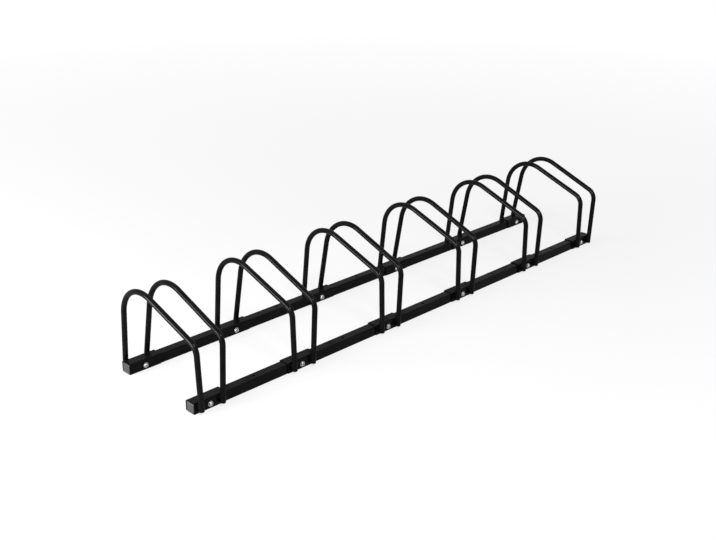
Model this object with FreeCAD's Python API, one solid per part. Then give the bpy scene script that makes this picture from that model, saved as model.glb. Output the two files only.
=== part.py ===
import FreeCAD, Part
import math
import os

V = FreeCAD.Vector

# Floor bike rack: two square rails stand on the floor, and six pairs of bent
# tube hoops, each pair welded to a front and a rear saddle, are bolted to them.
# Millimetres. X runs along the rails, a wheel comes in from -Y, Z is up, and
# the floor is Z = 0 under the rails.

# Layout: three bays either side of X = 0, the outermost a little closer to its neighbour
MIDDLE_PITCH = 350.0
END_PITCH = 322.0
RAIL_SPACING = 294.0

# Square tube rails
RAIL_SIZE = 30.0
RAIL_WALL = 1.5
RAIL_CORNER_R = 2.5
ANCHOR_HOLE_D = 8.5

# End caps
CAP_HEAD = 2.0
CAP_HEAD_CHAMFER = 0.6
CAP_PLUG_DEPTH = 16.0
CAP_PLUG_WALL = 2.0
CAP_PLUG_CLEARANCE = 0.4
CAP_PLUG_CHAMFER = 1.0
CAP_RIB_COUNT = 3
CAP_RIB_THICKNESS = 1.2

# Saddles: inverted channels over the rails
SADDLE_LENGTH = 104.0
SADDLE_WALL = 3.0
SADDLE_CLEARANCE = 0.5
SADDLE_INNER_R = 1.5
SADDLE_EDGE_HEIGHT = 2.0

# Hoops: round tube bent in one plane
TUBE_D = 16.0
TUBE_WALL = 1.5
LEG_INSET = 17.65
HOOP_TILT_DEG = 2.29
REAR_LEAN_DEG = 7.87
KNEE_CORNER_Z = 196.9
APEX_CORNER_Z = 310.5
KNEE_R = 36.5
APEX_R = 102.4
LEG_END_Z = 10.0

# Plugs in the open ends of the legs
PLUG_HEAD = 2.0
PLUG_DEPTH = 12.0
PLUG_CLEARANCE = 0.1

# Screws through saddle and rail; head and nut each have a washer flange
BOLT_D = 8.0
BOLT_HOLE_CLEARANCE = 1.0
BOLT_LENGTH = 50.0
BOLT_HEAD_D = 13.0
BOLT_HEAD_HEIGHT = 4.0
BOLT_HEAD_TOP_D = 6.6
BOLT_DOME_MIDDLE_D = 11.2
BOLT_DOME_MIDDLE_HEIGHT = 2.5
BOLT_SOCKET_FLATS = 5.0
BOLT_SOCKET_DEPTH = 2.6
FLANGE_D = 16.0
FLANGE_THICKNESS = 1.6
NUT_FLATS = 13.0
NUT_HEIGHT = 6.5
NUT_CLEARANCE = 0.1

# How far a cut runs past what it cuts, and how closely an edge is looked up
CUT_OVERRUN = 1.0
EDGE_TOLERANCE = 1e-6

# Sizes that follow from the ones above
INNER_X = MIDDLE_PITCH / 2
OUTER_X = INNER_X + MIDDLE_PITCH
END_X = OUTER_X + END_PITCH
BAY_X = (-END_X, -OUTER_X, -INNER_X, INNER_X, OUTER_X, END_X)
SADDLE_HALF_Y = RAIL_SIZE / 2 + SADDLE_CLEARANCE + SADDLE_WALL
SADDLE_TOP_Z = RAIL_SIZE + SADDLE_WALL
SADDLE_OUTER_R = SADDLE_INNER_R + SADDLE_WALL
RAIL_END_X = END_X + SADDLE_LENGTH / 2 - CAP_HEAD
BOLT_Z = RAIL_SIZE / 2
TUBE_R = TUBE_D / 2
HOOP_SPREAD = SADDLE_LENGTH - 2 * LEG_INSET
FRONT_FACE_Y = -RAIL_SPACING / 2 - SADDLE_HALF_Y
REAR_FACE_Y = RAIL_SPACING / 2 + SADDLE_HALF_Y
FRONT_LEG_Y = FRONT_FACE_Y - TUBE_R
LEAN = math.radians(REAR_LEAN_DEG)


def rounded_block(length, width, height, radius):
    """Bar along X, centred on Y and Z, with its four long edges rounded."""
    block = Part.makeBox(length, width, height, V(-length / 2, -width / 2, -height / 2))
    long_edges = [e for e in block.Edges if abs(e.Length - length) < EDGE_TOLERANCE]
    return block.makeFillet(radius, long_edges)


def drill(diameter, length, centre, direction):
    """Cylinder centred on a point, for a hole or a shank."""
    start = centre - direction * (length / 2)
    return Part.makeCylinder(diameter / 2, length, start, direction)


def hexagon(flats, height, start, direction):
    """Six-sided prism that stands on a point along a direction."""
    circle_r = flats / math.sqrt(3)
    corners = []
    for side in range(7):
        angle = math.radians(60 * side)
        corners.append(V(circle_r * math.cos(angle), circle_r * math.sin(angle), 0))
    prism = Part.Face(Part.makePolygon(corners)).extrude(V(0, 0, height))
    prism.Placement = FreeCAD.Placement(start, FreeCAD.Rotation(V(0, 0, 1), direction))
    return prism


def rail(y):
    """Square tube with a cross hole at each saddle and an anchor hole between bays."""
    inner = RAIL_SIZE - 2 * RAIL_WALL
    length = 2 * RAIL_END_X
    tube = rounded_block(length, RAIL_SIZE, RAIL_SIZE, RAIL_CORNER_R)
    bore_length = length + 2 * CUT_OVERRUN
    tube = tube.cut(rounded_block(bore_length, inner, inner, RAIL_CORNER_R - RAIL_WALL))
    through = RAIL_SIZE + 2 * CUT_OVERRUN
    for x in BAY_X:
        tube = tube.cut(drill(BOLT_D + BOLT_HOLE_CLEARANCE, through, V(x, 0, 0), V(0, 1, 0)))
    for left, right in zip(BAY_X, BAY_X[1:]):
        middle = V((left + right) / 2, 0, 0)
        tube = tube.cut(drill(ANCHOR_HOLE_D, through, middle, V(0, 0, 1)))
    tube.translate(V(0, y, RAIL_SIZE / 2))
    return tube


def chamfered_bar(length, width, chamfer):
    """Square bar along X with flats on its four long edges; its end is at X = 0."""
    bar = Part.makeBox(length, width, width, V(-length, -width / 2, -width / 2))
    long_edges = [e for e in bar.Edges if abs(e.Length - length) < EDGE_TOLERANCE]
    return bar.makeChamfer(chamfer, long_edges)


def end_cap(y, side):
    """Moulded cap: a flush head and a hollow ribbed plug inside the rail."""
    inner = RAIL_SIZE - 2 * RAIL_WALL
    plug = inner - 2 * CAP_PLUG_CLEARANCE
    core = plug - 2 * CAP_PLUG_WALL
    head = rounded_block(CAP_HEAD, RAIL_SIZE, RAIL_SIZE, RAIL_CORNER_R)
    outer_edges = [e for e in head.Edges if e.BoundBox.XMin > CAP_HEAD / 2 - EDGE_TOLERANCE]
    head = head.makeChamfer(CAP_HEAD_CHAMFER, outer_edges)
    head.translate(V(CAP_HEAD / 2, 0, 0))
    cap = head.fuse(chamfered_bar(CAP_PLUG_DEPTH, plug, CAP_PLUG_CHAMFER))
    for i in range(CAP_RIB_COUNT):
        rib = chamfered_bar(CAP_RIB_THICKNESS, inner, CAP_PLUG_CHAMFER)
        rib.translate(V(-CAP_PLUG_DEPTH * (i + 1) / (CAP_RIB_COUNT + 1), 0, 0))
        cap = cap.fuse(rib)
    hollow = Part.makeBox(CAP_PLUG_DEPTH, core, core, V(-CAP_PLUG_DEPTH, -core / 2, -core / 2))
    cap = cap.cut(hollow).removeSplitter()
    if side < 0:
        cap.rotate(V(0, 0, 0), V(0, 0, 1), 180)
    cap.translate(V(side * RAIL_END_X, y, RAIL_SIZE / 2))
    return cap


def saddle(x, y):
    """Inverted channel folded from strip, resting on the rail's top face."""
    half = RAIL_SIZE / 2 + SADDLE_CLEARANCE
    height = SADDLE_TOP_Z - SADDLE_EDGE_HEIGHT
    depth = RAIL_SIZE - SADDLE_EDGE_HEIGHT
    channel = folded_bar(SADDLE_HALF_Y, height, SADDLE_OUTER_R)
    channel = channel.cut(folded_bar(half, depth, SADDLE_INNER_R))
    channel.translate(V(x, y, SADDLE_EDGE_HEIGHT))
    through = 2 * (SADDLE_HALF_Y + CUT_OVERRUN)
    return channel.cut(drill(BOLT_D + BOLT_HOLE_CLEARANCE, through, V(x, y, BOLT_Z), V(0, 1, 0)))


def folded_bar(half_width, height, radius):
    """Bar as long as a saddle, standing on Z = 0, with its two top edges rounded."""
    corner = V(-SADDLE_LENGTH / 2, -half_width, 0)
    bar = Part.makeBox(SADDLE_LENGTH, 2 * half_width, height, corner)
    lengthwise = [e for e in bar.Edges if abs(e.Length - SADDLE_LENGTH) < EDGE_TOLERANCE]
    top_edges = [e for e in lengthwise if e.BoundBox.ZMin > height - EDGE_TOLERANCE]
    return bar.makeFillet(radius, top_edges)


def rear_leg_point(z):
    """Centre of the rear leg at a height: it leans on the saddle's rounded top edge."""
    touch_y = REAR_FACE_Y - SADDLE_OUTER_R + (SADDLE_OUTER_R + TUBE_R) * math.cos(LEAN)
    touch_z = SADDLE_TOP_Z - SADDLE_OUTER_R + (SADDLE_OUTER_R + TUBE_R) * math.sin(LEAN)
    return V(0, touch_y + (touch_z - z) * math.tan(LEAN), z)


def hoop_path():
    """Centre line of a hoop in its own plane: straight, knee, slope, apex, straight."""
    corners = (V(0, FRONT_LEG_Y, LEG_END_Z), V(0, FRONT_LEG_Y, KNEE_CORNER_Z),
               rear_leg_point(APEX_CORNER_Z), rear_leg_point(LEG_END_Z))
    return corners, (KNEE_R, APEX_R)


def tube_along_path(outer_r, inner_r):
    """Ring section extruded along the straights and turned round the bends."""
    corners, radii = hoop_path()
    position = corners[0]
    heading = (corners[1] - corners[0]).normalize()
    pieces = []
    for i, radius in enumerate(radii):
        corner = corners[i + 1]
        next_heading = (corners[i + 2] - corner).normalize()
        turn = heading.getAngle(next_heading)
        setback = radius * math.tan(turn / 2)
        bend_start = corner - heading * setback
        pieces.append(ring(position, heading, outer_r, inner_r).extrude(bend_start - position))
        axis = heading.cross(next_heading).normalize()
        centre = bend_start + axis.cross(heading) * radius
        section = ring(bend_start, heading, outer_r, inner_r)
        pieces.append(section.revolve(centre, axis, math.degrees(turn)))
        position = corner + next_heading * setback
        heading = next_heading
    pieces.append(ring(position, heading, outer_r, inner_r).extrude(corners[-1] - position))
    return pieces[0].multiFuse(pieces[1:]).removeSplitter()


def ring(centre, normal, outer_r, inner_r):
    """Flat ring face across the tube."""
    outer = Part.Wire(Part.makeCircle(outer_r, centre, normal))
    inner = Part.Wire(Part.makeCircle(inner_r, centre, normal))
    return Part.Face([outer, inner])


def placed_on_side(shape, x, side):
    """Tilt a shape made in the upright plane outward, and move it to its side of a bay."""
    placed = shape.copy()
    placed.rotate(V(0, 0, 0), V(0, 1, 0), side * HOOP_TILT_DEG)
    placed.translate(V(x + side * HOOP_SPREAD / 2, 0, 0))
    return placed


def leg_directions():
    """Each leg's end point and the direction up the leg."""
    up_rear = V(0, -math.sin(LEAN), math.cos(LEAN))
    return ((V(0, FRONT_LEG_Y, LEG_END_Z), V(0, 0, 1)), (rear_leg_point(LEG_END_Z), up_rear))


def leg_plug(end, up):
    """Round plug pushed into an open leg end, with a head as wide as the tube."""
    head = Part.makeCylinder(TUBE_R, PLUG_HEAD, V(0, 0, -PLUG_HEAD))
    stem = Part.makeCylinder(TUBE_R - TUBE_WALL - PLUG_CLEARANCE, PLUG_DEPTH)
    plug = head.fuse(stem)
    plug.Placement = FreeCAD.Placement(end, FreeCAD.Rotation(V(0, 0, 1), up))
    return plug


def bolt(x, y):
    """Flanged button head screw with a hexagon socket; the head faces -Y."""
    flange_r = FLANGE_D / 2
    rim_r = BOLT_HEAD_D / 2
    top_r = BOLT_HEAD_TOP_D / 2
    rim_y = -FLANGE_THICKNESS
    top_y = rim_y - BOLT_HEAD_HEIGHT
    shoulder = V(BOLT_DOME_MIDDLE_D / 2, rim_y - BOLT_DOME_MIDDLE_HEIGHT, 0)
    dome = Part.Arc(V(rim_r, rim_y, 0), shoulder, V(top_r, top_y, 0)).toShape()
    rest = Part.makePolygon([V(top_r, top_y, 0), V(0, top_y, 0), V(0, 0, 0),
                             V(flange_r, 0, 0), V(flange_r, rim_y, 0), V(rim_r, rim_y, 0)])
    head = Part.Face(Part.Wire([dome] + rest.Edges)).revolve(V(0, 0, 0), V(0, 1, 0), 360)
    shank = Part.makeCylinder(BOLT_D / 2, BOLT_LENGTH, V(0, 0, 0), V(0, 1, 0))
    socket = hexagon(BOLT_SOCKET_FLATS, BOLT_SOCKET_DEPTH, V(0, top_y, 0), V(0, 1, 0))
    screw = head.fuse(shank).cut(socket).removeSplitter()
    screw.translate(V(x, y - SADDLE_HALF_Y, BOLT_Z))
    return screw


def nut(x, y):
    """Flanged hexagon nut against the saddle's other face."""
    flange = Part.makeCylinder(FLANGE_D / 2, FLANGE_THICKNESS, V(0, 0, 0), V(0, 1, 0))
    body = flange.fuse(hexagon(NUT_FLATS, NUT_HEIGHT, V(0, 0, 0), V(0, 1, 0)))
    hole_r = BOLT_D / 2 + NUT_CLEARANCE
    body = body.cut(Part.makeCylinder(hole_r, NUT_HEIGHT, V(0, 0, 0), V(0, 1, 0)))
    body.translate(V(x, y + SADDLE_HALF_Y, BOLT_Z))
    return body


def rack_nodes():
    """Every node's name and shape, with the rails either side of Y = 0."""
    nodes = {}
    hoop = tube_along_path(TUBE_R, TUBE_R - TUBE_WALL)
    rails = (("front", -RAIL_SPACING / 2), ("rear", RAIL_SPACING / 2))
    sides = (("left", -1), ("right", 1))
    for place, y in rails:
        nodes["rail_" + place] = rail(y)
        for hand, side in sides:
            nodes["end_cap_%s_%s" % (place, hand)] = end_cap(y, side)
        for number, x in enumerate(BAY_X, 1):
            nodes["saddle_%s_%d" % (place, number)] = saddle(x, y)
        nodes["bolts_" + place] = Part.makeCompound([bolt(x, y) for x in BAY_X])
        nodes["nuts_" + place] = Part.makeCompound([nut(x, y) for x in BAY_X])
    for number, x in enumerate(BAY_X, 1):
        plugs = []
        for hand, side in sides:
            nodes["hoop_%d_%s" % (number, hand)] = placed_on_side(hoop, x, side)
            plugs += [placed_on_side(leg_plug(end, up), x, side) for end, up in leg_directions()]
        nodes["leg_plugs_%d" % number] = Part.makeCompound(plugs)
    return nodes


def centred(nodes):
    """Move the rack so that Y = 0 is the middle of its overall depth."""
    boxes = [shape.optimalBoundingBox(False, False) for shape in nodes.values()]
    middle = (min(box.YMin for box in boxes) + max(box.YMax for box in boxes)) / 2
    for shape in nodes.values():
        shape.translate(V(0, -middle, 0))
    return nodes


os.makedirs("parts", exist_ok=True)
for name, shape in centred(rack_nodes()).items():
    shape.exportStep("parts/%s.step" % name)
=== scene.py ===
import bmesh
import bpy
import math
import numpy as np
from mathutils import Matrix


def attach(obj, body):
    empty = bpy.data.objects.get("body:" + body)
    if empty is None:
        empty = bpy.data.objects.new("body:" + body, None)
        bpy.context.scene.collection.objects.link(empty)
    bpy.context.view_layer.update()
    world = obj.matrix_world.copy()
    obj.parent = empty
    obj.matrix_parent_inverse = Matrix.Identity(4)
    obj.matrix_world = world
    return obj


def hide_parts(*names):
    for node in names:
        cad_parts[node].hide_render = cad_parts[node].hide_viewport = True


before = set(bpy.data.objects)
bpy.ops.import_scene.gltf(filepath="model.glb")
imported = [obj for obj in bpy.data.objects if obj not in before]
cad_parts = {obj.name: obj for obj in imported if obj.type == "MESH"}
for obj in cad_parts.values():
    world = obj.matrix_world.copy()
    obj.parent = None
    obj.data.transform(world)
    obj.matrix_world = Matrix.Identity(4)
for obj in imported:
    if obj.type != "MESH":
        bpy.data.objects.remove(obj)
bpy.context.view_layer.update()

# Rails. Two lengths of 30 mm square steel tube lie on the floor and carry everything.
# They are powder coated black, and drilled for the saddle screws and floor anchors.
# The drilled tubes from the frame are shown, with a coating made here.
bay_centres = np.array((-0.847, -0.525, -0.175, 0.175, 0.525, 0.847))
rail_size = 0.030
rail_rows = {"front": -0.148437, "rear": 0.145563}
rail_tube_end = 0.897


def powder_coat(name, roughness, peel, dust_and_top_light):
    """Black polyester powder coat: a dark base with slow changes of shade, fine orange
    peel in the bump, patches that are a little duller, and a pale speckle on faces
    turned up, partly a trace of dust and partly painted light from above."""
    coat = bpy.data.materials.new(name)
    coat.use_nodes = True
    nodes = coat.node_tree.nodes
    link = coat.node_tree.links.new
    shader = nodes["Principled BSDF"]
    shader.inputs["Specular IOR Level"].default_value = 0.01
    shader.inputs["Coat Weight"].default_value = 0.08
    shader.inputs["Coat Roughness"].default_value = 0.13
    place = nodes.new("ShaderNodeTexCoord")

    cloud = nodes.new("ShaderNodeTexNoise")
    cloud.inputs["Scale"].default_value = 22.0
    cloud.inputs["Detail"].default_value = 5.0
    link(place.outputs["Object"], cloud.inputs["Vector"])
    shade = nodes.new("ShaderNodeValToRGB")
    shade.color_ramp.elements[0].position = 0.35
    shade.color_ramp.elements[0].color = (0.0014, 0.0014, 0.0015, 1)
    shade.color_ramp.elements[1].position = 0.7
    shade.color_ramp.elements[1].color = (0.0028, 0.0028, 0.0030, 1)
    link(cloud.outputs["Fac"], shade.inputs["Fac"])

    speck_noise = nodes.new("ShaderNodeTexNoise")
    speck_noise.inputs["Scale"].default_value = 900.0
    speck_noise.inputs["Detail"].default_value = 2.0
    link(place.outputs["Object"], speck_noise.inputs["Vector"])
    # Painted top light, partly dust: faces turned up get a pale speckle, which lightens the top faces as
    # light from above would, besides showing a trace of dust.
    facing = nodes.new("ShaderNodeNewGeometry")
    split = nodes.new("ShaderNodeSeparateXYZ")
    link(facing.outputs["Normal"], split.inputs["Vector"])
    upward = nodes.new("ShaderNodeMapRange")
    upward.inputs["From Min"].default_value = 0.75
    upward.inputs["From Max"].default_value = 1.0
    upward.inputs["To Max"].default_value = dust_and_top_light
    link(split.outputs["Z"], upward.inputs["Value"])
    speck = nodes.new("ShaderNodeMath")
    speck.operation = "MULTIPLY"
    link(upward.outputs["Result"], speck.inputs[0])
    link(speck_noise.outputs["Fac"], speck.inputs[1])
    dust_and_top_light_mix = nodes.new("ShaderNodeMix")
    dust_and_top_light_mix.data_type = "RGBA"
    dust_and_top_light_mix.inputs["B"].default_value = (0.080, 0.078, 0.074, 1)
    link(speck.outputs["Value"], dust_and_top_light_mix.inputs["Factor"])
    link(shade.outputs["Color"], dust_and_top_light_mix.inputs["A"])
    link(dust_and_top_light_mix.outputs["Result"], shader.inputs["Base Color"])

    rub = nodes.new("ShaderNodeTexNoise")
    rub.inputs["Scale"].default_value = 60.0
    rub.inputs["Detail"].default_value = 6.0
    rub.inputs["Roughness"].default_value = 0.65
    link(place.outputs["Object"], rub.inputs["Vector"])
    dull = nodes.new("ShaderNodeMapRange")
    dull.inputs["From Min"].default_value = 0.3
    dull.inputs["From Max"].default_value = 0.7
    dull.inputs["To Min"].default_value = roughness - 0.05
    dull.inputs["To Max"].default_value = roughness + 0.09
    link(rub.outputs["Fac"], dull.inputs["Value"])
    link(dull.outputs["Result"], shader.inputs["Roughness"])

    peel_cells = nodes.new("ShaderNodeTexNoise")
    peel_cells.inputs["Scale"].default_value = 480.0
    peel_cells.inputs["Detail"].default_value = 1.5
    link(place.outputs["Object"], peel_cells.inputs["Vector"])
    skin = nodes.new("ShaderNodeBump")
    skin.inputs["Strength"].default_value = peel
    skin.inputs["Distance"].default_value = 0.0002
    link(peel_cells.outputs["Fac"], skin.inputs["Height"])
    link(skin.outputs["Normal"], shader.inputs["Normal"])
    return coat


def coat_node(node, material):
    """Give every material slot of a frame node this material."""
    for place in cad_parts[node].material_slots:
        place.material = material


rail_coat = powder_coat("rail powder coat", 0.30, 0.09, 0.05)
for rail_row in rail_rows:
    coat_node("rail_" + rail_row, rail_coat)


# Rail end caps. Black plastic mouldings pushed into the four open rail ends.
# A flush square head with softened corners covers the tube's cut edge, and a
# hollow plug, out of sight, grips the inside.
cap_head = 0.0020
cap_rim = 0.0017
cap_crown = 0.00012
cap_corner = 0.0025
cap_plug_length = 0.016
cap_plug_half = 0.0131
cap_plug_bore_half = 0.0110
cap_plug_corner = 0.0010
cap_plug_lead = 0.0004
cap_floor = 0.002
cap_outline_points = 96


def moulded_plastic(name, colour, roughness):
    """Injection moulded plastic: fine spark-eroded grain in the bump, a slightly
    cloudy colour, and duller and glossier patches."""
    plastic = bpy.data.materials.new(name)
    plastic.use_nodes = True
    nodes = plastic.node_tree.nodes
    link = plastic.node_tree.links.new
    shader = nodes["Principled BSDF"]
    shader.inputs["Specular IOR Level"].default_value = 0.5
    place = nodes.new("ShaderNodeTexCoord")
    cloud = nodes.new("ShaderNodeTexNoise")
    cloud.inputs["Scale"].default_value = 90.0
    cloud.inputs["Detail"].default_value = 4.0
    link(place.outputs["Object"], cloud.inputs["Vector"])
    shade = nodes.new("ShaderNodeValToRGB")
    shade.color_ramp.elements[0].position = 0.3
    shade.color_ramp.elements[0].color = (0.8 * colour, 0.8 * colour, 0.82 * colour, 1)
    shade.color_ramp.elements[1].position = 0.75
    shade.color_ramp.elements[1].color = (1.2 * colour, 1.2 * colour, 1.22 * colour, 1)
    link(cloud.outputs["Fac"], shade.inputs["Fac"])
    link(shade.outputs["Color"], shader.inputs["Base Color"])
    dull = nodes.new("ShaderNodeMapRange")
    dull.inputs["To Min"].default_value = roughness - 0.08
    dull.inputs["To Max"].default_value = roughness + 0.08
    link(cloud.outputs["Fac"], dull.inputs["Value"])
    link(dull.outputs["Result"], shader.inputs["Roughness"])
    grain = nodes.new("ShaderNodeTexNoise")
    grain.inputs["Scale"].default_value = 2400.0
    grain.inputs["Detail"].default_value = 2.0
    link(place.outputs["Object"], grain.inputs["Vector"])
    skin = nodes.new("ShaderNodeBump")
    skin.inputs["Strength"].default_value = 0.35
    skin.inputs["Distance"].default_value = 0.00008
    link(grain.outputs["Fac"], skin.inputs["Height"])
    link(skin.outputs["Normal"], shader.inputs["Normal"])
    return plastic


def grid_faces(rows, columns, wrap_rows, first):
    """Quads between neighbouring points of a grid of rows by columns, numbered row by
    row from first. Columns always close on themselves, rows only where asked."""
    row = np.arange(rows if wrap_rows else rows - 1)[:, None]
    column = np.arange(columns)[None, :]
    next_row = (row + 1) % rows
    next_column = (column + 1) % columns
    corners = (row * columns + column, row * columns + next_column,
               next_row * columns + next_column, next_row * columns + column)
    return np.stack(corners, axis=-1).reshape(-1, 4) + first


def piece_from_grids(name, grids, material, wrap_rows=False, edge_angle=40, extra_faces=()):
    """One object from point grids (rows, columns, 3): neighbouring points are joined,
    points that meet at a pole or seam are merged, and faces are turned outward."""
    points = np.concatenate([grid.reshape(-1, 3) for grid in grids])
    starts = np.cumsum([0] + [grid.shape[0] * grid.shape[1] for grid in grids])
    faces = [grid_faces(grid.shape[0], grid.shape[1], wrap_rows, start)
             for grid, start in zip(grids, starts)]
    faces = np.concatenate(faces + [np.asarray(more) for more in extra_faces])
    mesh = bpy.data.meshes.new(name)
    mesh.from_pydata(points, (), faces)
    piece = bpy.data.objects.new(name, mesh)
    bpy.context.scene.collection.objects.link(piece)
    shell = bmesh.new()
    shell.from_mesh(mesh)
    bmesh.ops.remove_doubles(shell, verts=shell.verts, dist=0.000003)
    bmesh.ops.recalc_face_normals(shell, faces=shell.faces)
    shell.to_mesh(mesh)
    shell.free()
    mesh.polygons.foreach_set("use_smooth", np.ones(len(mesh.polygons), dtype=bool))
    mesh.set_sharp_from_angle(angle=math.radians(edge_angle))
    mesh.materials.append(material)
    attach(piece, "root")
    return piece


def rounded_square(half, radius, count):
    """Points round a square with quarter-circle corners: each corner's centre plus its
    radius turned through a quarter, joined by the straight sides."""
    turn = np.linspace(0, 2 * math.pi, count, endpoint=False) + math.pi / count
    sign_y = np.sign(np.cos(turn))
    sign_z = np.sign(np.sin(turn))
    quarter = np.mod(turn, math.pi / 2) / (math.pi / 2)
    quarter = np.where(sign_y * sign_z > 0, quarter, 1 - quarter)
    bend = np.clip((quarter - 0.2) / 0.6, 0, 1) * math.pi / 2
    toward_z = 1 - np.where(quarter > 0.8, (quarter - 0.8) / 0.2, 0)
    toward_y = 1 - np.where(quarter < 0.2, 1 - quarter / 0.2, 0)
    flat = half - radius
    y = sign_y * (flat * toward_z + radius * np.cos(bend) * toward_z)
    z = sign_z * (flat * toward_y + radius * np.sin(bend) * toward_y)
    return np.stack([y, z], axis=-1)


def cap_grid(row_y, side):
    """Rounded squares carried along X: a slightly crowned face from its middle outward,
    a soft rim, the head's side, and the hollow plug's outside and inside."""
    half = rail_size / 2
    rim = np.linspace(0, math.pi / 2, 9)[1:]
    face_half = np.concatenate([np.linspace(0.00001, half - cap_rim, 8),
                                half - cap_rim + cap_rim * np.sin(rim)])
    drop = np.concatenate([np.zeros(8), cap_rim * (1 - np.cos(rim))])
    face_x = cap_head - drop - cap_crown * (face_half / half) ** 2
    plug_half = np.array((half, cap_plug_half, cap_plug_half, cap_plug_half - cap_plug_lead,
                          cap_plug_bore_half, cap_plug_bore_half, 0.00001))
    plug_x = np.array((0.0, 0.0, -cap_plug_length + 0.001, -cap_plug_length, -cap_plug_length,
                       -cap_floor, -cap_floor))
    halves = np.concatenate([face_half, plug_half])
    stations = np.concatenate([face_x, plug_x])
    on_head = np.arange(len(halves)) < len(face_half) + 1
    corner = np.minimum(np.where(on_head, cap_corner, cap_plug_corner), 0.95 * halves)
    ring = np.stack([rounded_square(h, r, cap_outline_points) for h, r in zip(halves, corner)])
    x = side * (rail_tube_end + np.broadcast_to(stations[:, None], ring.shape[:2]))
    return np.stack([x, ring[..., 0] + row_y, ring[..., 1] + half], axis=-1)


cap_plastic = moulded_plastic("rail cap plastic", 0.005, 0.50)
for rail_row, row_y in rail_rows.items():
    for hand, side in (("left", -1), ("right", 1)):
        cap_name = "end_cap_%s_%s" % (rail_row, hand)
        cap = piece_from_grids(cap_name + "_moulding", [cap_grid(row_y, side)], cap_plastic)
        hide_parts(cap_name)


# Saddles. Twelve inverted channels, folded from 3 mm steel strip, sit over the rails,
# one front and one rear for each bay. The hoops are welded to their outer faces,
# and a screw through the middle holds each one to its rail.
saddle_length = 0.104
saddle_wall = 0.0030
saddle_half = 0.0185
saddle_top = 0.033
saddle_bottom = 0.002
saddle_inner_bend = 0.0015
saddle_outer_bend = saddle_inner_bend + saddle_wall
cut_edge = 0.0004


def channel_outline(half, top, bend):
    """One side of a folded channel's section, left foot to right foot: up the left
    flange, a quarter turn of the given radius, across, a quarter turn, and down."""
    turn = np.linspace(0, math.pi / 2, 9)
    left_y = -half + bend - bend * np.cos(turn)
    left_z = top - bend + bend * np.sin(turn)
    flange = np.linspace(saddle_bottom, top - bend, 6)[:-1]
    across = np.linspace(-half + bend, half - bend, 8)[1:-1]
    y = np.concatenate([np.full(5, -half), left_y, across, -left_y[::-1], np.full(5, half)])
    z = np.concatenate([flange, left_z, np.full(6, top), left_z[::-1], flange[::-1]])
    return np.stack([y, z], axis=-1)


def saddle_grid(x, row_y):
    """Outer and inner outlines joined into one ring round the strip's section, carried
    along X. The last stretch at each end draws in by a quarter circle, as a coated
    cut edge does."""
    outer = channel_outline(saddle_half, saddle_top, saddle_outer_bend)
    inner = channel_outline(saddle_half - saddle_wall, saddle_top - saddle_wall, saddle_inner_bend)
    turn = np.linspace(0, math.pi / 2, 5)
    draw = cut_edge * np.concatenate([1 - np.sin(turn), np.zeros(7), 1 - np.sin(turn[::-1])])
    reach = saddle_length / 2
    first_end = -reach + cut_edge - cut_edge * np.cos(turn)
    between = np.linspace(-reach + 0.002, reach - 0.002, 7)
    stations = np.concatenate([first_end, between, -first_end[::-1]])
    toward = (inner - outer) / np.linalg.norm(inner - outer, axis=1, keepdims=True)
    outer_rows = outer[None] + draw[:, None, None] * toward[None]
    inner_rows = inner[None] - draw[:, None, None] * toward[None]
    ring = np.concatenate([outer_rows, inner_rows[:, ::-1]], axis=1)
    along = np.broadcast_to(stations[:, None], ring.shape[:2])
    return np.stack([along + x, ring[..., 0] + row_y, ring[..., 1]], axis=-1)


def saddle_end_faces(rows, columns):
    """Quads across the strip's thickness at both ends, outer point to inner point."""
    half = columns // 2
    outer = np.arange(half - 1)
    inner = columns - 1 - outer
    end = np.stack([outer, outer + 1, inner - 1, inner], axis=-1)
    return np.concatenate([end, end + (rows - 1) * columns])


saddle_coat = powder_coat("saddle powder coat", 0.27, 0.09, 0.04)
for rail_row, row_y in rail_rows.items():
    for number, x in enumerate(bay_centres, 1):
        grid = saddle_grid(x, row_y)
        name = "saddle_%s_%d" % (rail_row, number)
        saddle = piece_from_grids(name + "_channel", [grid], saddle_coat,
                                  extra_faces=[saddle_end_faces(grid.shape[0], grid.shape[1])])
        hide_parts(name)


# Hoops. Twelve lengths of 16 mm round steel tube, each bent twice in one plane: a knee
# over the front rail and a wide bend over the rear one. A pair leans apart to take
# a tyre, and every leg is welded to the outside of a saddle.
tube_radius = 0.00797  # 0.03 mm under the real one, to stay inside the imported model's facets
tube_wall = 0.0015
leg_end_height = 0.010
front_leg = -0.174937
knee_corner = 0.1969
apex_corner = 0.3105
knee_radius = 0.0365
apex_radius = 0.1024
rear_lean = math.radians(7.87)
hoop_spread = 0.0687
hoop_tilt = math.radians(2.29)
lean_arm = saddle_outer_bend + tube_radius


def rear_leg(height):
    """Middle of the rear leg in the hoop's plane: it rests on the saddle's rounded
    edge, so it lies one tube radius outside that edge and leans forward."""
    edge_y = rail_rows["rear"] + saddle_half - saddle_outer_bend
    edge_z = saddle_top - saddle_outer_bend
    touch_y = edge_y + lean_arm * math.cos(rear_lean)
    touch_z = edge_z + lean_arm * math.sin(rear_lean)
    return np.array((touch_y + (touch_z - height) * math.tan(rear_lean), height))


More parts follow.
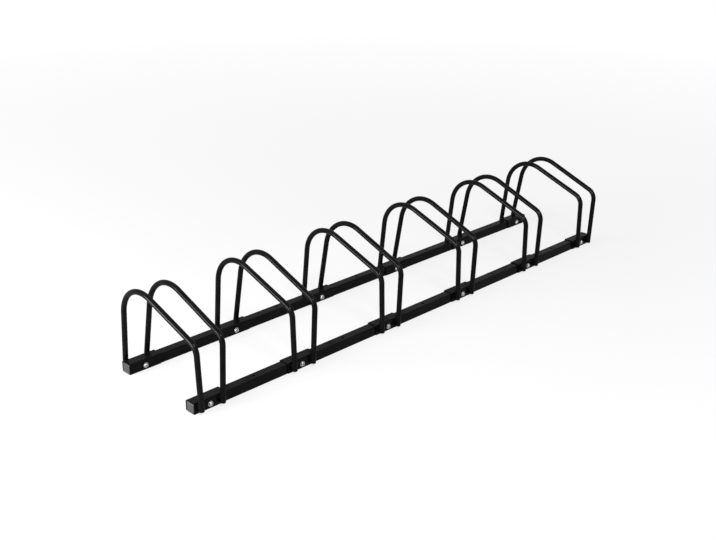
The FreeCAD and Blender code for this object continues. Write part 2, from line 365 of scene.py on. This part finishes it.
def hoop_line():
    """Middle line of a hoop in its plane, as points (y, z): the legs and the slope are
    straight, and each corner between them is an arc tangent to both."""
    corners = np.array(((front_leg, leg_end_height), (front_leg, knee_corner),
                        rear_leg(apex_corner), rear_leg(leg_end_height)))
    runs = [np.linspace(corners[0], corners[0] + (0, 0.03), 4)[:-1]]
    for number, radius, steps in ((1, knee_radius, 26), (2, apex_radius, 48)):
        before, corner, after = corners[number - 1:number + 2]
        into = (corner - before) / np.linalg.norm(corner - before)
        away = (after - corner) / np.linalg.norm(after - corner)
        outward = np.array((-into[1], into[0]))
        bend = math.acos(float(into @ away))
        centre = corner - into * radius * math.tan(bend / 2) - radius * outward
        turn = np.linspace(0, bend, steps)[:, None]
        runs.append(centre + radius * (np.cos(turn) * outward + np.sin(turn) * into))
    runs.append(np.linspace(rear_leg(leg_end_height + 0.03), corners[3], 4))
    line = np.concatenate(runs)
    reach = np.concatenate([[0], np.cumsum(np.linalg.norm(np.diff(line, axis=0), axis=1))])
    even = np.union1d(reach, np.linspace(0, reach[-1], 120))
    return np.stack([np.interp(even, reach, line[:, 0]), np.interp(even, reach, line[:, 1])], axis=-1)


def around_line(line, radius, columns):
    """Circles of a radius round a flat line: at each point the circle lies across the
    line, between the line's own normal and the X direction."""
    along = np.gradient(line, axis=0)
    along /= np.linalg.norm(along, axis=1, keepdims=True)
    turn = np.linspace(0, 2 * math.pi, columns, endpoint=False)
    radius = np.broadcast_to(np.asarray(radius, float).reshape(-1, 1), (len(line), 1))
    x = radius * np.cos(turn)
    y = line[:, :1] - radius * np.sin(turn) * along[:, 1:]
    z = line[:, 1:] + radius * np.sin(turn) * along[:, :1]
    return np.stack([np.broadcast_to(x, y.shape), y, z], axis=-1)


def lean_out(grid, x, side):
    """Tilt a shape made in the upright plane outward, about the floor line, and move
    it to its side of a bay."""
    tilt = side * hoop_tilt
    foot = x + side * hoop_spread / 2
    leaned = grid.copy()
    leaned[..., 0] = grid[..., 0] * math.cos(tilt) + grid[..., 2] * math.sin(tilt) + foot
    leaned[..., 2] = grid[..., 2] * math.cos(tilt) - grid[..., 0] * math.sin(tilt)
    return leaned


def hoop_grid():
    """The tube's outside from leg to leg and its bore back again, as one closed skin."""
    line = hoop_line()
    outside = around_line(line, tube_radius, 48)
    bore = around_line(line, tube_radius - tube_wall, 48)
    return np.concatenate([outside, bore[::-1]])


hoop_coat = powder_coat("hoop powder coat", 0.22, 0.04, 0.02)
hoop_skin = hoop_grid()
for number, x in enumerate(bay_centres, 1):
    for hand, side in (("left", -1), ("right", 1)):
        name = "hoop_%d_%s" % (number, hand)
        hoop = piece_from_grids(name + "_tube", [lean_out(hoop_skin, x, side)], hoop_coat, wrap_rows=True)
        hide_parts(name)


# Leg plugs. A small black plastic plug closes each open leg end, 7 mm above the floor.
# Its rounded head is as wide as the tube, and its stem is pushed up the bore.
plug_head = 0.0020
plug_rim = 0.0007
plug_stem = 0.012
plug_stem_radius = 0.0064
plug_stem_lead = 0.0004


def leg_plug_grid(end, up):
    """A lathe profile turned round the leg's line: the domed underside from its middle
    outward, a rounded rim, the head's side, the step, and the stem to its top."""
    rim = np.linspace(0, math.pi / 2, 7)
    radii = np.concatenate([[0.00001, 0.003, 0.0055], tube_radius - plug_rim + plug_rim * np.sin(rim),
                            [tube_radius, plug_stem_radius, plug_stem_radius,
                             plug_stem_radius - plug_stem_lead, 0.00001]])
    heights = np.concatenate([np.array((0, 0.00003, 0.0001)) - plug_head,
                              0.00015 - plug_head + plug_rim * (1 - np.cos(rim)),
                              [0, 0, plug_stem - 0.0005, plug_stem, plug_stem]])
    turn = np.linspace(0, 2 * math.pi, 40, endpoint=False)
    across = np.array((up[1], -up[0]))
    x = radii[:, None] * np.cos(turn)
    flat = radii[:, None] * np.sin(turn)
    y = end[0] + heights[:, None] * up[0] + flat * across[0]
    z = end[1] + heights[:, None] * up[1] + flat * across[1]
    return np.stack([x, y, z], axis=-1)


leg_ends = ((np.array((front_leg, leg_end_height)), np.array((0.0, 1.0))),
            (rear_leg(leg_end_height), np.array((-math.sin(rear_lean), math.cos(rear_lean)))))
plug_plastic = moulded_plastic("leg plug plastic", 0.011, 0.45)
for number, x in enumerate(bay_centres, 1):
    grids = [lean_out(leg_plug_grid(end, up), x, side) for side in (-1, 1) for end, up in leg_ends]
    plugs = piece_from_grids("leg_plugs_%d_mouldings" % number, grids, plug_plastic)
    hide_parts("leg_plugs_%d" % number)


# Weld beads. A short bead fills the groove on each side of every leg where it meets
# its saddle. The ripples of the weld show through the powder coat.
bead_radius = 0.0026
bead_ripple = 0.0021
bead_side = 0.0049
front_bead_heights = (0.0125, 0.0290)
rear_bead_heights = (0.0215, 0.0312)


def bead_grid(start, end, ripple):
    """A round-ended rod between two points (x, y, z): its radius swells and shrinks
    along it like overlapping drops, and falls to nothing at both ends."""
    step = np.linspace(0, 1, 41)
    length = np.linalg.norm(end - start)
    taper = np.sqrt(np.clip(1 - ((2 * step - 1) ** 8), 0, 1))
    drops = np.abs(np.sin(math.pi * length / bead_ripple * step + ripple))
    radius = bead_radius * taper * (1 - 0.10 * drops)
    along = (end - start) / length
    first = np.cross(along, (1.0, 0.0, 0.0))
    first /= np.linalg.norm(first)
    second = np.cross(along, first)
    turn = np.linspace(0, 2 * math.pi, 20, endpoint=False)
    circle = np.cos(turn)[:, None] * first + np.sin(turn)[:, None] * second
    return start + step[:, None, None] * (end - start) + np.maximum(radius, 0.000001)[:, None, None] * circle


def leg_bead_grids(x, side):
    """Four beads of one hoop: both sides of the front leg on the saddle's front face,
    and both sides of the rear leg on the rear saddle's rounded edge."""
    beads = []
    front_y = rail_rows["front"] - saddle_half - 0.0013
    rear_y = rail_rows["rear"] + saddle_half + 0.0006
    for hand in (-1, 1):
        low, high = (np.array((hand * bead_side, front_y, z)) for z in front_bead_heights)
        beads.append(lean_out(bead_grid(low, high, hand + side), x, side))
        across = hand * (bead_side - 0.0004)
        low = np.array((across, rear_y + 0.0012, rear_bead_heights[0]))
        high = np.array((across, rear_y - 0.0010, rear_bead_heights[1]))
        beads.append(lean_out(bead_grid(low, high, hand - side), x, side))
    return beads


bead_coat = powder_coat("weld bead powder coat", 0.30, 0.15, 0.03)
for number, x in enumerate(bay_centres, 1):
    grids = leg_bead_grids(x, -1) + leg_bead_grids(x, 1)
    beads = piece_from_grids("weld_beads_%d" % number, grids, bead_coat, edge_angle=80)


# Screws. One zinc plated M8 button head screw with a washer flange goes through each
# saddle and rail, with its head on the side that faces the low end of the hoops.
# Only the head, with its hexagon socket, and the threaded tip show.
screw_radius = 0.0040
screw_length = 0.050
screw_flange = 0.0080
flange_thickness = 0.0016
flange_rounding = 0.0005
screw_head_radius = 0.0065
screw_head_height = 0.0040
socket_flats = 0.0050
socket_depth = 0.0023
socket_point = 0.0030
thread_pitch = 0.00125
thread_depth = 0.00062
threaded_tip = 0.012
tip_chamfer = 0.0010


def zinc_plate(name):
    """Bright zinc plate on steel: a pale metal with a fine grain in the bump, cloudy grey
    patches and duller spots."""
    zinc = bpy.data.materials.new(name)
    zinc.use_nodes = True
    nodes = zinc.node_tree.nodes
    link = zinc.node_tree.links.new
    shader = nodes["Principled BSDF"]
    shader.inputs["Metallic"].default_value = 1.0
    place = nodes.new("ShaderNodeTexCoord")
    cloud = nodes.new("ShaderNodeTexNoise")
    cloud.inputs["Scale"].default_value = 350.0
    cloud.inputs["Detail"].default_value = 6.0
    link(place.outputs["Object"], cloud.inputs["Vector"])
    shade = nodes.new("ShaderNodeValToRGB")
    shade.color_ramp.elements[0].position = 0.3
    shade.color_ramp.elements[0].color = (0.28, 0.29, 0.30, 1)
    shade.color_ramp.elements[1].position = 0.7
    shade.color_ramp.elements[1].color = (0.43, 0.44, 0.45, 1)
    link(cloud.outputs["Fac"], shade.inputs["Fac"])
    link(shade.outputs["Color"], shader.inputs["Base Color"])
    dull = nodes.new("ShaderNodeMapRange")
    dull.inputs["To Min"].default_value = 0.22
    dull.inputs["To Max"].default_value = 0.46
    link(cloud.outputs["Fac"], dull.inputs["Value"])
    link(dull.outputs["Result"], shader.inputs["Roughness"])
    lines = nodes.new("ShaderNodeTexNoise")
    lines.inputs["Scale"].default_value = 2600.0
    lines.inputs["Detail"].default_value = 2.0
    link(place.outputs["Object"], lines.inputs["Vector"])
    skin = nodes.new("ShaderNodeBump")
    skin.inputs["Strength"].default_value = 0.18
    skin.inputs["Distance"].default_value = 0.00006
    link(lines.outputs["Fac"], skin.inputs["Height"])
    link(skin.outputs["Normal"], shader.inputs["Normal"])
    return zinc


def hexagon_radius(flats, turn):
    """Distance from a hexagon's middle to its side in each direction."""
    return flats / 2 / np.cos(np.mod(turn + math.pi / 6, math.pi / 3) - math.pi / 6)


def turned_about_y(radii, turn, stations, x):
    """Points of a lathe shape about a line along Y at the rails' mid height: each radius
    is laid out at its own angle and at its row's place along the line."""
    y = np.broadcast_to(stations[:, None], radii.shape)
    return np.stack([x + radii * np.cos(turn), y, rail_size / 2 + radii * np.sin(turn)], axis=-1)


def screw_grid(x, row_y, roll):
    """A lathe profile turned round Y: socket floor, hexagonal socket wall, domed head,
    washer flange, shank, and a tip whose radius falls into a helical thread."""
    turn = np.linspace(0, 2 * math.pi, 72, endpoint=False)
    hexagon = hexagon_radius(socket_flats, turn)
    top = -flange_thickness - screw_head_height
    socket = np.stack([0.00001 + 0 * turn, 0.93 * hexagon, hexagon, hexagon, 1.04 * hexagon])
    socket_y = top + np.array((socket_point, socket_depth + 0.0002, socket_depth, 0.0002, 0))
    dome_turn = np.linspace(0.30, 1, 10) * math.pi / 2
    dome = screw_head_radius * np.sin(dome_turn) ** 0.85
    dome_y = top + screw_head_height * (1 - np.cos(dome_turn - dome_turn[0]) ** 0.9)
    dome_y = np.interp(dome_y, (dome_y[0], dome_y[-1]), (top + 0.00003, -flange_thickness))
    flange_turn = np.linspace(0, math.pi / 2, 5)
    flange_rim = screw_flange - flange_rounding + flange_rounding * np.sin(flange_turn)
    flange = np.concatenate([[screw_head_radius + 0.0002], flange_rim,
                             [screw_flange - 0.0002, screw_radius, screw_radius]])
    flange_top = -flange_thickness + 0.0001
    flange_y = np.concatenate([[flange_top], flange_top + flange_rounding * (1 - np.cos(flange_turn)),
                               [0.0, 0.0, screw_length - threaded_tip]])
    tip_y = np.linspace(screw_length - threaded_tip, screw_length, 70)
    phase = np.mod(tip_y[:, None] / thread_pitch - turn / (2 * math.pi), 1)
    cut = thread_depth * (1 - np.abs(2 * phase - 1)) * 0.95
    end = np.clip((tip_y - screw_length + tip_chamfer) / tip_chamfer, 0, 1)[:, None]
    tip = np.minimum(screw_radius - cut, screw_radius - 0.0009 * end)
    lathe = np.concatenate([dome, flange])[:, None] + 0 * turn
    radii = np.concatenate([socket, lathe, tip, 0.00001 + 0 * turn[None]])
    stations = np.concatenate([socket_y, dome_y, flange_y, tip_y, [screw_length]])
    return turned_about_y(radii, turn + roll, stations + row_y - saddle_half, x)


screw_zinc = zinc_plate("screw zinc plate")
screw_rolls = np.radians((8, 41, 23, 55, 14, 37))
for rail_row, row_y in rail_rows.items():
    grids = [screw_grid(x, row_y, roll) for x, roll in zip(bay_centres, screw_rolls)]
    screws = piece_from_grids("bolts_%s_screws" % rail_row, grids, screw_zinc, edge_angle=32)
    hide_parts("bolts_" + rail_row)


# Nuts. A zinc plated flanged hexagon nut holds each screw on the saddle's other face.
# Its corners are turned down to a cone at the outer end.
nut_flats = 0.013
nut_height = 0.0065
nut_bore = 0.0041


def nut_grid(x, row_y, roll):
    """A lathe profile turned round Y and cut to six flats: at each height the radius is
    the smaller of the hexagon and the turned cone, over a round washer flange."""
    turn = np.linspace(0, 2 * math.pi, 96, endpoint=False)
    hexagon = hexagon_radius(nut_flats, turn)
    heights = np.concatenate([[0.0, 0.0, 0.0004, 0.0013, 0.0016, 0.0019],
                              np.linspace(0.0024, nut_height, 12),
                              [nut_height, nut_height - 0.0004, 0.0]])
    corner = nut_flats / math.sqrt(3)
    cone = corner - 1.6 * np.clip(heights - nut_height + 0.0010, 0, None)
    radii = np.minimum(hexagon[None], cone[:, None])
    radii[0] = nut_bore
    radii[1:3] = screw_flange
    radii[1] = screw_flange - 0.0002
    radii[3] = screw_flange - 0.0003
    radii[4] = np.maximum(hexagon, screw_flange - 0.0009)
    radii[-3] = nut_bore + 0.0005
    radii[-2:] = nut_bore
    return turned_about_y(radii, turn + roll, heights + row_y + saddle_half, x)


nut_zinc = zinc_plate("nut zinc plate")
for rail_row, row_y in rail_rows.items():
    grids = [nut_grid(x, row_y, roll) for x, roll in zip(bay_centres, screw_rolls[::-1])]
    nuts = piece_from_grids("nuts_%s_hexagons" % rail_row, grids, nut_zinc, edge_angle=32)
    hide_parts("nuts_" + rail_row)


# Floor and light. A white studio sweep with two large soft lamps, as in a catalogue
# picture, and the photograph's view from the front left.
def seen_or_mirrored(nodes, link):
    """Socket that is 1 for rays from the camera, and for rays mirrored by or passed
    through a surface, so that shiny pieces show the same white as the picture."""
    path = nodes.new("ShaderNodeLightPath")
    total = path.outputs["Is Camera Ray"]
    for ray in ("Is Glossy Ray", "Is Transmission Ray"):
        either = nodes.new("ShaderNodeMath")
        either.operation = "MAXIMUM"
        link(total, either.inputs[0])
        link(path.outputs[ray], either.inputs[1])
        total = either.outputs["Value"]
    return total


def studio_floor():
    """White floor that reads as white in the picture and still takes a soft shadow: its
    own glow grows with the distance from the rack, as the lamps' light falls off."""
    paper = bpy.data.materials.new("studio floor")
    paper.use_nodes = True
    nodes = paper.node_tree.nodes
    link = paper.node_tree.links.new
    nodes.remove(nodes["Principled BSDF"])
    plain = nodes.new("ShaderNodeBsdfDiffuse")
    plain.inputs["Color"].default_value = (0.82, 0.82, 0.82, 1)
    seen = nodes.new("ShaderNodeBsdfDiffuse")
    seen.inputs["Color"].default_value = (0.125, 0.125, 0.125, 1)
    place = nodes.new("ShaderNodeTexCoord")
    distance = nodes.new("ShaderNodeVectorMath")
    distance.operation = "LENGTH"
    link(place.outputs["Object"], distance.inputs[0])
    far = nodes.new("ShaderNodeMapRange")
    far.inputs["From Min"].default_value = 0.8
    far.inputs["From Max"].default_value = 5.0
    far.inputs["To Min"].default_value = 0.77
    far.inputs["To Max"].default_value = 0.95
    link(distance.outputs["Value"], far.inputs["Value"])
    glow = nodes.new("ShaderNodeEmission")
    link(far.outputs["Result"], glow.inputs["Strength"])
    both = nodes.new("ShaderNodeAddShader")
    link(seen.outputs["BSDF"], both.inputs[0])
    link(glow.outputs["Emission"], both.inputs[1])
    pick = nodes.new("ShaderNodeMixShader")
    link(seen_or_mirrored(nodes, link), pick.inputs["Fac"])
    link(plain.outputs["BSDF"], pick.inputs[1])
    link(both.outputs["Shader"], pick.inputs[2])
    link(pick.outputs["Shader"], nodes["Material Output"].inputs["Surface"])
    return paper


floor_mesh = bpy.data.meshes.new("floor")
floor_mesh.from_pydata([(-40, -40, 0), (40, -40, 0), (40, 40, 0), (-40, 40, 0)], [], [(0, 1, 2, 3)])
floor = bpy.data.objects.new("floor", floor_mesh)
floor_mesh.materials.append(studio_floor())
bpy.context.scene.collection.objects.link(floor)

world = bpy.data.worlds.new("studio")
bpy.context.scene.world = world
world.use_nodes = True
world_nodes = world.node_tree.nodes
world_link = world.node_tree.links.new
surround = world_nodes["Background"]
surround.inputs["Color"].default_value = (1, 1, 1, 1)
surround.inputs["Strength"].default_value = 0.35
bright = world_nodes.new("ShaderNodeBackground")
bright.inputs["Color"].default_value = (1, 1, 1, 1)
bright.inputs["Strength"].default_value = 1.0
choose = world_nodes.new("ShaderNodeMixShader")
world_link(seen_or_mirrored(world_nodes, world_link), choose.inputs["Fac"])
world_link(surround.outputs["Background"], choose.inputs[1])
world_link(bright.outputs["Background"], choose.inputs[2])
world_link(choose.outputs["Shader"], world_nodes["World Output"].inputs["Surface"])


def soft_lamp(name, place, aim, width, height, power):
    """Rectangular lamp at a place, turned so that its face looks at the aim point."""
    light = bpy.data.lights.new(name, "AREA")
    light.shape = "RECTANGLE"
    light.size = width
    light.size_y = height
    light.energy = power
    lamp = bpy.data.objects.new(name, light)
    away = np.subtract(place, aim)
    away = away / np.linalg.norm(away)
    right = np.cross((0, 0, 1.0), away)
    right /= np.linalg.norm(right)
    turned = np.column_stack([right, np.cross(away, right), away])
    lamp.matrix_world = Matrix.LocRotScale(place, Matrix(turned.tolist()), None)
    bpy.context.scene.collection.objects.link(lamp)


soft_lamp("key lamp", (-1.2, -2.4, 3.2), (0, 0, 0.1), 1.0, 1.0, 150)
soft_lamp("left lamp", (-3.4, 0.7, 0.8), (0, 0, 0.1), 2.4, 1.4, 400)

camera_data = bpy.data.cameras.new("camera")
camera_data.sensor_width = 36.0
camera_data.lens = 52.853
camera = bpy.data.objects.new("camera", camera_data)
camera_right = np.array((0.70908841, -0.70499589, 0.0132069))
camera_up = np.array((0.26570968, 0.28450766, 0.9211155))
camera_back = np.cross(camera_right, camera_up)
camera_axes = np.column_stack([camera_right, camera_up, camera_back])
camera.matrix_world = Matrix.LocRotScale((-2.27281, -2.12089, 1.40838), Matrix(camera_axes.tolist()), None)
bpy.context.scene.collection.objects.link(camera)
bpy.context.scene.camera = camera
bpy.context.scene.view_settings.view_transform = "Standard"
